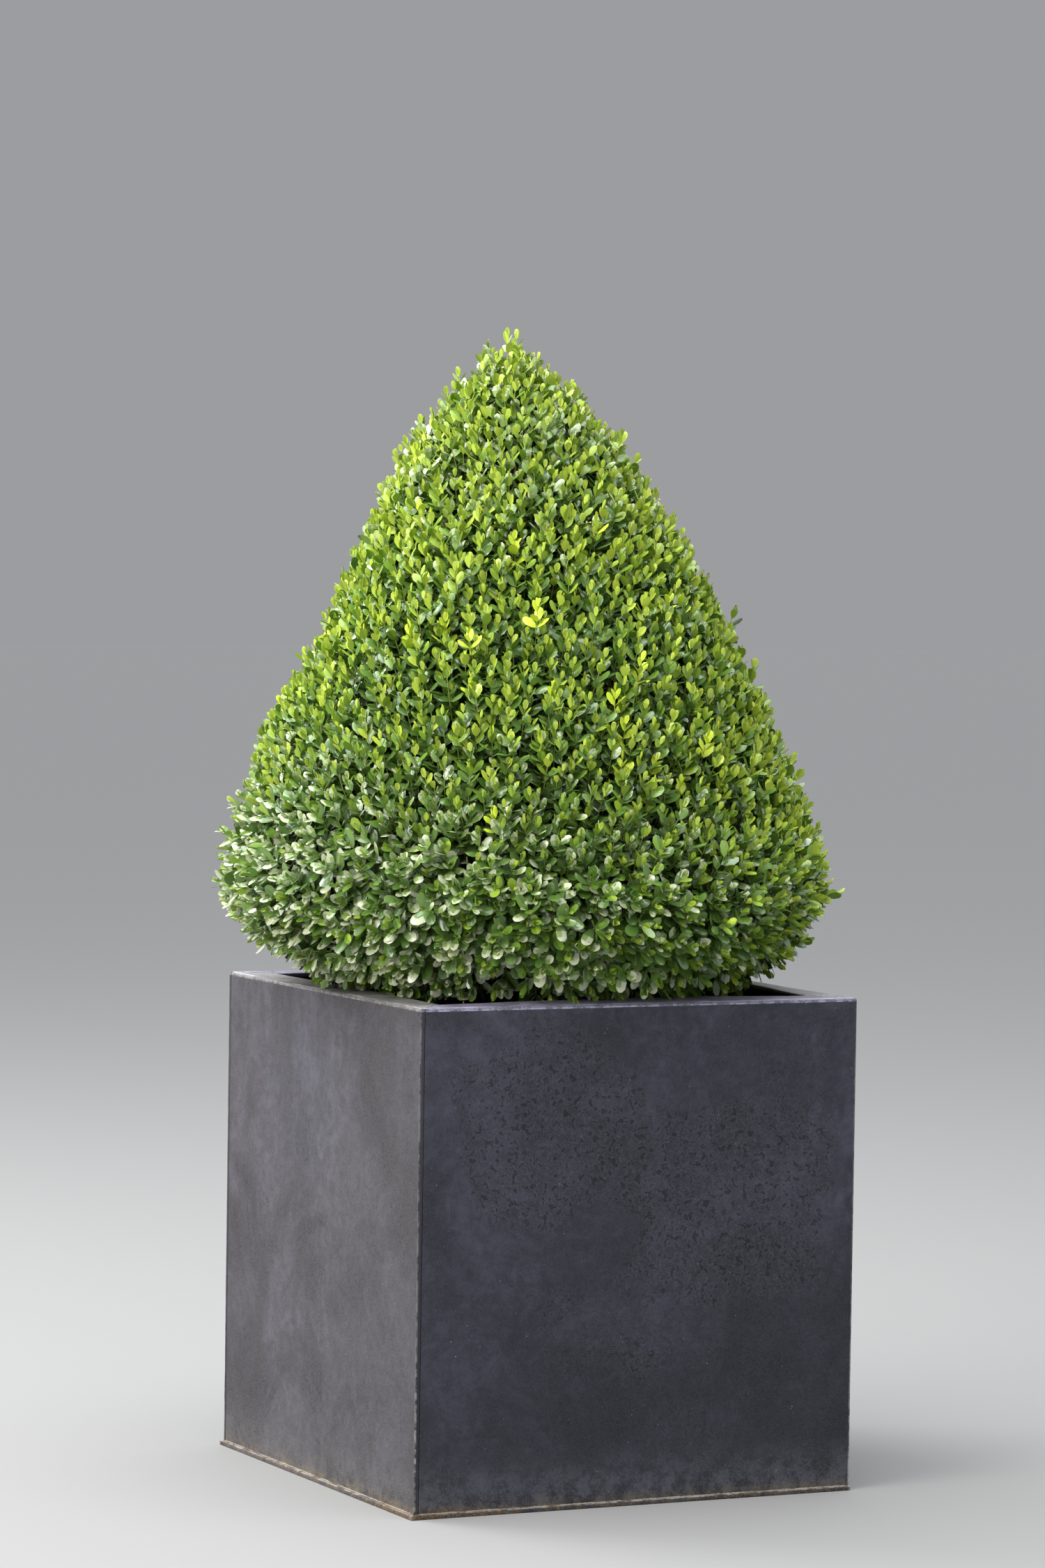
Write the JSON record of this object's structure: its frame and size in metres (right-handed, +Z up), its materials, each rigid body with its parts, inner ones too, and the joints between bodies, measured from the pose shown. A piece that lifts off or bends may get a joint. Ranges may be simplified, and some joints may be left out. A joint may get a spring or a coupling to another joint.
{
  "type": "boxwood cone topiary",
  "caption": "Boxwood clipped to a broad cone, growing in a square planter of welded dark steel plate that stands on its flat base.",
  "frame": {"origin": "centre of the planter walls' plan, on the underside of the base plate", "axes": "+Z up along the plant, -Y towards the planter's front panel, +X to its right seen from the front"},
  "size_m": [0.7881, 0.793, 1.463],
  "materials": {
    "steel": "satin",
    "rim_steel": "satin",
    "soil": "matte",
    "bark": "matte",
    "foliage": "satin"
  },
  "bodies": {
    "root": {"planter_base": "steel", "planter_panel_front": "steel", "planter_panel_right": "steel", "planter_panel_back": "steel", "planter_panel_left": "steel", "planter_rim_front": "rim_steel", "planter_rim_right": "rim_steel", "planter_rim_back": "rim_steel", "planter_rim_left": "rim_steel", "soil": "soil", "trunk": "bark", "bough_1": "bark", "bough_2": "bark", "bough_3": "bark", "bough_4": "bark", "foliage_cone": "foliage"}
  },
  "joints": []
}
